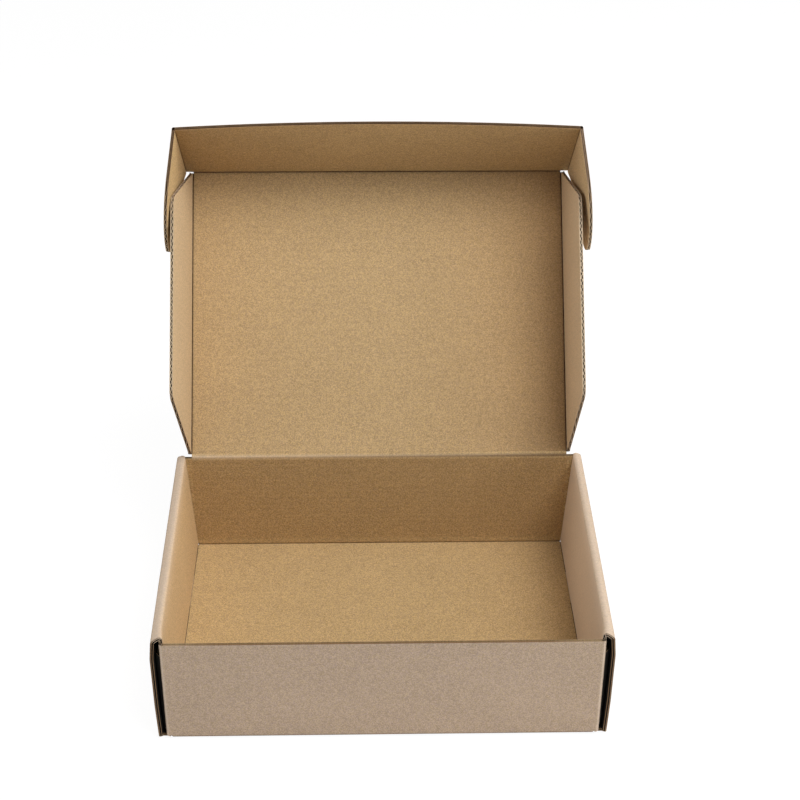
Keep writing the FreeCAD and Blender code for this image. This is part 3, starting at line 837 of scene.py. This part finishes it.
def ear_edge(y):
    """An ear's free edge at each y: root, neck, heel, tip and shoulder."""
    lid = bpy.context.scene.mailer_lid
    tip, top = lid.ear_length / MM, lid.flap_length / MM
    root, neck, shoulder = (0.8, 1.0), (10.0, 9.0), (24.0, top)
    heel = arc((tip - 8.8, 18.4), (tip - 2.5, 22.0), (tip, 29.0))
    crown = arc((tip, 29.0), (tip - 8.9, top - 8.2), shoulder)
    outline = np.array([root, neck] + heel + crown[1:])
    return np.interp(y, outline[:, 1], outline[:, 0])


# A crease skin: how far it lies on each panel, how far above the board's face, and its thickness
SKIN_FLAT = 1.6
SKIN_OVER = 0.02
SKIN_PAPER = 0.12


def crease_skin(name, point, axis, length_mm, radius, normals, ply, worn=0.0):
    """The liner wrapped round a crease that turns, from one panel's face to the next.

    normals are the two panels' outward normals. worn is how much its ridge is painted
    pale at the left, partly scuffed paper and partly painted highlight, and crushed and painted dark at the
    right, partly as painted shade.
    """
    point, axis = np.array(point), np.array(axis)
    a, b = (np.array(n) for n in normals)
    angle = math.acos(max(-1, min(1, float(a @ b))))
    side_a = -np.cross(np.cross(a, b), a)
    side_b = np.cross(np.cross(a, b), b)
    side_a, side_b = (way / np.linalg.norm(way) for way in (side_a, side_b))

    # Across the crease: two points on the first flat, the bend, and two points on the second flat
    steps = np.arange(13) / 12
    bend = [(a * math.sin((1 - t) * angle) + b * math.sin(t * angle)) / math.sin(angle) for t in steps]
    outward = np.array([a, a] + bend + [b, b])
    slide = np.zeros_like(outward)
    slide[:2] = [side_a * SKIN_FLAT, side_a * SKIN_FLAT * 0.5]
    slide[-2:] = [side_b * SKIN_FLAT * 0.5, side_b * SKIN_FLAT]
    section = outward * radius + slide
    along = np.linspace(-length_mm / 2, length_mm / 2, 61)
    rows, count = len(section), len(along)
    line = point[None, None] + axis[None, None] * along[None, :, None]
    outer = section[:, None] + line
    inner = (section - outward * SKIN_PAPER)[:, None] + line

    run = np.concatenate([[0], np.cumsum(np.linalg.norm(np.diff(section, axis=0), axis=1))])
    across, length_way = np.meshgrid(run, along, indexing="ij")
    sheet = np.stack([length_way, across, np.zeros_like(across)], axis=2)
    index = np.arange(rows * count).reshape(rows, count)
    under = rows * count
    faces = []
    for i in range(rows - 1):
        for j in range(count - 1):
            quad = [index[i, j], index[i, j + 1], index[i + 1, j + 1], index[i + 1, j]]
            faces.append(quad)
            faces.append([v + under for v in quad[::-1]])
    rim = list(index[0, :]) + list(index[1:, -1]) + list(index[-1, -2::-1]) + list(index[-2:0:-1, 0])
    for p, q in zip(rim, rim[1:] + rim[:1]):
        faces.append([q, p, p + under, q + under])
    mesh = bpy.data.meshes.new(name)
    points = np.concatenate([outer.reshape(-1, 3), inner.reshape(-1, 3)])
    mesh.from_pydata((points * MM).tolist(), [], np.array(faces).tolist())
    if mesh.polygons[0].normal.dot(Vector(a)) < 0:
        mesh.flip_normals()

    mark_sheet(mesh, np.concatenate([sheet, sheet]))
    mark(mesh, "ply", np.full(len(mesh.vertices), float(ply)))
    # The ridge is painted pale at the left and dark at the right, partly wear and partly painted highlight
    # and shade; the underside is painted fully crease-dark
    press = 0.0 if worn else 0.25
    ridge = np.concatenate([[0, 0.35], np.ones(rows - 4), [0.35, 0]])[:, None]
    to_right = np.clip(along / length_mm + 0.45, 0, 1)[None, :]
    crushed = np.broadcast_to(press + ridge * to_right * worn, (rows, count)).ravel()
    rubbed = ridge * (1 - to_right) * worn * 0.6
    mark(mesh, "press", np.concatenate([crushed, np.ones(under)]))
    mark(mesh, "rub", np.concatenate([rubbed.ravel(), np.zeros(under)]))
    mesh.materials.append(kraft_board())
    made = bpy.data.objects.new(name, mesh)
    bpy.context.collection.objects.link(made)
    crisp(mesh, 60)
    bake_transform(made)
    return made


class MAILER_OT_tray(bpy.types.Operator):
    """The tray: walls, bottom, rolled sides, dust flaps and lock tabs, all one folded sheet"""

    bl_idname = "mailer.tray"
    bl_label = "Tray"

    def execute(self, context):
        parts = [tray_run()]
        for side in (-1, 1):
            parts += [rolled_side(side), dust_flap(side, -1), dust_flap(side, 1)]
            parts += [lock_tab(side, place) for place in TAB_PLACES]
        tray = as_board(parts, "folded_tray")
        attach(tray, "tray")
        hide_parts("tray")
        return {"FINISHED"}


class MAILER_OT_lid(bpy.types.Operator):
    """The lid's flat panel"""

    bl_idname = "mailer.lid"
    bl_label = "Lid panel"

    def execute(self, context):
        half, wide, _ = halves()
        groove = context.scene.mailer_board.crease_groove / MM / 2
        y = rows_of(HINGE_GAP, context.scene.mailer_lid.length / MM + half - groove)
        edge = np.full(len(y), wide - groove / 2)
        folds = {"left": 0.5, "right": 0.7, "low": 0.5, "high": 1.0}
        # The lid's inside liner gets painted shade, most near the right wing, and is painted a little paler
        flat = flat_panel("lid", y, -edge, edge, 17, folds, rub=0.06, aged=(0.3, 0.08, 1.1))
        panel = as_board([flat], "lid_board")
        point, way, inward = lid_axes()
        mount(panel, "lid", "lid_panel", point, (1, 0, 0), way, inward)
        return {"FINISHED"}


class MAILER_OT_wings(bpy.types.Operator):
    """The two wings at the lid's sides, cut across the flutes"""

    bl_idname = "mailer.wings"
    bl_label = "Lid wings"

    def execute(self, context):
        lid = context.scene.mailer_lid
        half, wide, _ = halves()
        point, way, inward = lid_axes()
        y = rows_of(lid.wing_start / MM, lid.wing_end / MM)
        root = np.full(len(y), context.scene.mailer_board.crease_groove / MM / 3)
        edge = np.maximum(wing_edge(y), root + 0.1)
        # Painted light: the wings are painted paler, the right one more
        for side, angle, name, rub in (
            (-1, lid.wing_turn_left, "left", 0.26), (1, lid.wing_turn_right, "right", 0.42),
        ):
            flat = flat_panel("wing", y, root, edge, 8, {"left": 0.5}, shift=wide, rub=rub)
            wing = as_board([flat], name + "_wing_board")
            along, inner = side_axes(side, angle, inward)
            corner = point + np.array([side * wide, 0, 0]) + inward * half
            mount(wing, name + "_wing", "lid_wing_" + name, corner - inner * half, along, way, inner)
        return {"FINISHED"}


class MAILER_OT_front_flap(bpy.types.Operator):
    """The front tuck flap, its free edge bowed outwards"""

    bl_idname = "mailer.front_flap"
    bl_label = "Front flap"

    def execute(self, context):
        lid = context.scene.mailer_lid
        half, _, reach = halves()
        tall, bow = lid.flap_length / MM, lid.flap_bow / MM

        def bowed(x, y):
            return -bow * (y / tall) * (1 - (x / reach) ** 2)

        groove = context.scene.mailer_board.crease_groove / MM
        y = rows_of(groove, tall)
        edge = np.full(len(y), reach - groove / 2)
        folds = {"left": 0.9, "right": 0.9, "low": 1.0}
        # The flap's inside liner gets painted shade, most at its left
        flat = flat_panel("flap", y, -edge, edge, 25, folds, lid.length / MM + half, bowed,
                          aged=(0.75, 0.25, 0.5))
        flap = as_board([flat], "front_flap_board")
        origin, way, inward = flap_axes()
        mount(flap, "front_flap", "lid_front_flap", origin, (1, 0, 0), way, inward)
        return {"FINISHED"}


class MAILER_OT_ears(bpy.types.Operator):
    """The ears at the front flap's ends"""

    bl_idname = "mailer.ears"
    bl_label = "Ears"

    def execute(self, context):
        lid = context.scene.mailer_lid
        half, _, reach = halves()
        origin, way, inward = flap_axes()
        y = rows_of(1.0, lid.flap_length / MM)
        root = np.full(len(y), context.scene.mailer_board.crease_groove / MM * 0.7)
        edge = np.maximum(ear_edge(y), root + 0.2)
        for side, name, rub in ((-1, "left", 0.0), (1, "right", 0.14)):
            flat = flat_panel("ear", y, root, edge, 22, {"left": 0.9}, lid.length / MM + half,
                              shift=reach, rub=rub)
            ear = as_board([flat], name + "_ear_board")
            along, inner = side_axes(side, lid.ear_turn, inward)
            root_line = origin + np.array([side * reach, 0, 0])
            mount(ear, name + "_ear", "lid_ear_" + name, root_line, along, way, inner)
        return {"FINISHED"}


class MAILER_OT_creases(bpy.types.Operator):
    """The liners that run on round each crease that turns"""

    bl_idname = "mailer.creases"
    bl_label = "Creases"

    def execute(self, context):
        lid = context.scene.mailer_lid
        half, wide, reach = halves()
        x_way = (1.0, 0, 0)
        point, way, inward = lid_axes()
        crease_skin("hinge_inner_crease", point, x_way, 2 * wide, half + SKIN_OVER,
                    ((0, -1, 0), inward), 1, worn=0.8)
        flap_point, flap_way, flap_inward = flap_axes()
        crease_skin("flap_outer_crease", flap_point, x_way, 2 * wide,
                    half + SKIN_OVER, (-inward, -flap_inward), -1)
        wing_low, wing_high = lid.wing_start / MM, lid.wing_end / MM
        ear_low, ear_high = 1.2, lid.flap_length / MM
        for side, angle, name in ((-1, lid.wing_turn_left, "left"), (1, lid.wing_turn_right, "right")):
            out = np.array([side, 0, 0])
            _, inner = side_axes(side, angle, inward)
            middle = point + out * wide + inward * half + way * (wing_low + wing_high) / 2
            crease_skin(name + "_wing_crease_skin", middle, way,
                        wing_high - wing_low, 2 * half + SKIN_OVER, (-inward, -inner), -1)
            _, inner = side_axes(side, lid.ear_turn, flap_inward)
            middle = flap_point + out * reach + flap_way * (ear_low + ear_high) / 2
            crease_skin(name + "_ear_crease_skin", middle, flap_way,
                        ear_high - ear_low, half + SKIN_OVER, (-flap_inward, -inner), -1)
        return {"FINISHED"}


# The photo's camera in millimetres and degrees, the floor and what the lamps look at in metres
CAMERA_PLACE = (-7.39, -626.9, 525.9)
CAMERA_PITCH, CAMERA_YAW, CAMERA_ROLL = 31.944, 1.446, 0.379
FLOOR_HALF = 6.0
FLOOR_LEVEL = -0.0003
LAMP_AIM = (0, 0.03, 0.08)


class MAILER_OT_stage(bpy.types.Operator):
    """Floor, lamps, sky and the camera"""

    bl_idname = "mailer.stage"
    bl_label = "Stage"

    def execute(self, context):
        stage = context.scene.mailer_stage
        mesh = bpy.data.meshes.new("floor")
        ends = ((-1, -1), (1, -1), (1, 1), (-1, 1))
        corners = [(x * FLOOR_HALF, y * FLOOR_HALF, FLOOR_LEVEL) for x, y in ends]
        mesh.from_pydata(corners, [], [(0, 1, 2, 3)])
        floor = bpy.data.objects.new("floor", mesh)
        context.collection.objects.link(floor)
        paint = bpy.data.materials.new("White studio floor")
        tree = emptied(paint)
        matt = node(tree, "ShaderNodeBsdfDiffuse", {"Color": (0.97, 0.97, 0.97, 1)}).outputs[0]
        glow = node(tree, "ShaderNodeEmission", {"Color": (1, 1, 1, 1), "Strength": stage.glow}).outputs[0]
        path = node(tree, "ShaderNodeLightPath").outputs
        seen = node(tree, "ShaderNodeMath", {
            0: path["Is Camera Ray"], 1: 1 - stage.shadow,
        }, operation="MULTIPLY")
        mixed = node(tree, "ShaderNodeMixShader", {0: seen.outputs[0], 1: matt, 2: glow})
        node(tree, "ShaderNodeOutputMaterial", {"Surface": mixed.outputs[0]})
        floor.data.materials.append(paint)

        world = bpy.data.worlds.new("Studio sky")
        tree = emptied(world)
        path = node(tree, "ShaderNodeLightPath").outputs
        even = node(tree, "ShaderNodeBackground", {"Color": (1, 1, 1, 1), "Strength": stage.sky}).outputs[0]
        white = node(tree, "ShaderNodeBackground", {"Color": (1, 1, 1, 1), "Strength": 1.0}).outputs[0]
        mixed = node(tree, "ShaderNodeMixShader", {0: path["Is Camera Ray"], 1: even, 2: white})
        node(tree, "ShaderNodeOutputWorld", {"Surface": mixed.outputs[0]})
        context.scene.world = world

        lamps = (
            ("key_lamp", stage.key, 0.8, (0.44, -0.42, 1.28)),
            ("side_lamp", stage.side, 0.7, (1.25, -0.05, 0.45)),
            ("fill_lamp", stage.fill, 0.7, (-1.25, -0.05, 0.45)),
        )
        for name, watts, size, place in lamps:
            data = bpy.data.lights.new(name, "AREA")
            data.energy = watts
            data.size = size
            lamp = bpy.data.objects.new(name, data)
            lamp.location = place
            lamp.rotation_euler = (Vector(LAMP_AIM) - Vector(place)).to_track_quat("-Z", "Y").to_euler()
            context.collection.objects.link(lamp)

        pitch, yaw, roll = (math.radians(angle) for angle in (CAMERA_PITCH, CAMERA_YAW, CAMERA_ROLL))
        ahead = Vector((math.sin(yaw) * math.cos(pitch), math.cos(yaw) * math.cos(pitch), -math.sin(pitch)))
        right = Vector((math.cos(yaw), -math.sin(yaw), 0))
        up = right.cross(ahead)
        tilted = right * math.cos(roll) + up * math.sin(roll)
        up = up * math.cos(roll) - right * math.sin(roll)
        data = bpy.data.cameras.new("photo_view")
        data.lens = stage.lens
        data.sensor_width = 36
        camera = bpy.data.objects.new("photo_view", data)
        turned = Matrix((tilted, up, -ahead)).transposed().to_4x4()
        camera.matrix_world = Matrix.Translation(Vector(CAMERA_PLACE) * MM) @ turned
        context.collection.objects.link(camera)
        context.scene.camera = camera
        context.scene.view_settings.view_transform = "Standard"
        return {"FINISHED"}


class MAILER_PT_panel(bpy.types.Panel):
    """The mailer's sizes, colours and pieces"""

    bl_idname = "MAILER_PT_panel"
    bl_label = "Corrugated mailer box"
    bl_space_type = "VIEW_3D"
    bl_region_type = "UI"
    bl_category = "Mailer"

    def draw(self, context):
        layout = self.layout
        for group, _ in GROUPS:
            box = layout.box()
            holder = getattr(context.scene, group)
            for name in holder.bl_rna.properties.keys():
                if name not in ("name", "rna_type"):
                    box.prop(holder, name)
        for operator in OPERATORS:
            layout.operator(operator.bl_idname)


GROUPS = (
    ("mailer_board", MailerBoard),
    ("mailer_tray", MailerTray),
    ("mailer_lid", MailerLid),
    ("mailer_colours", MailerColours),
    ("mailer_stage", MailerStage),
)
OPERATORS = (
    MAILER_OT_tray, MAILER_OT_lid, MAILER_OT_wings, MAILER_OT_front_flap, MAILER_OT_ears,
    MAILER_OT_creases, MAILER_OT_stage,
)


def register():
    for name, group in GROUPS:
        bpy.utils.register_class(group)
        setattr(bpy.types.Scene, name, bpy.props.PointerProperty(type=group))
    for operator in OPERATORS:
        bpy.utils.register_class(operator)
    bpy.utils.register_class(MAILER_PT_panel)


def unregister():
    bpy.utils.unregister_class(MAILER_PT_panel)
    for operator in reversed(OPERATORS):
        bpy.utils.unregister_class(operator)
    for name, group in reversed(GROUPS):
        delattr(bpy.types.Scene, name)
        bpy.utils.unregister_class(group)


def main():
    register()
    bpy.ops.mailer.tray()
    bpy.ops.mailer.lid()
    bpy.ops.mailer.wings()
    bpy.ops.mailer.front_flap()
    bpy.ops.mailer.ears()
    bpy.ops.mailer.creases()
    bpy.ops.mailer.stage()


if __name__ == "__main__":
    main()
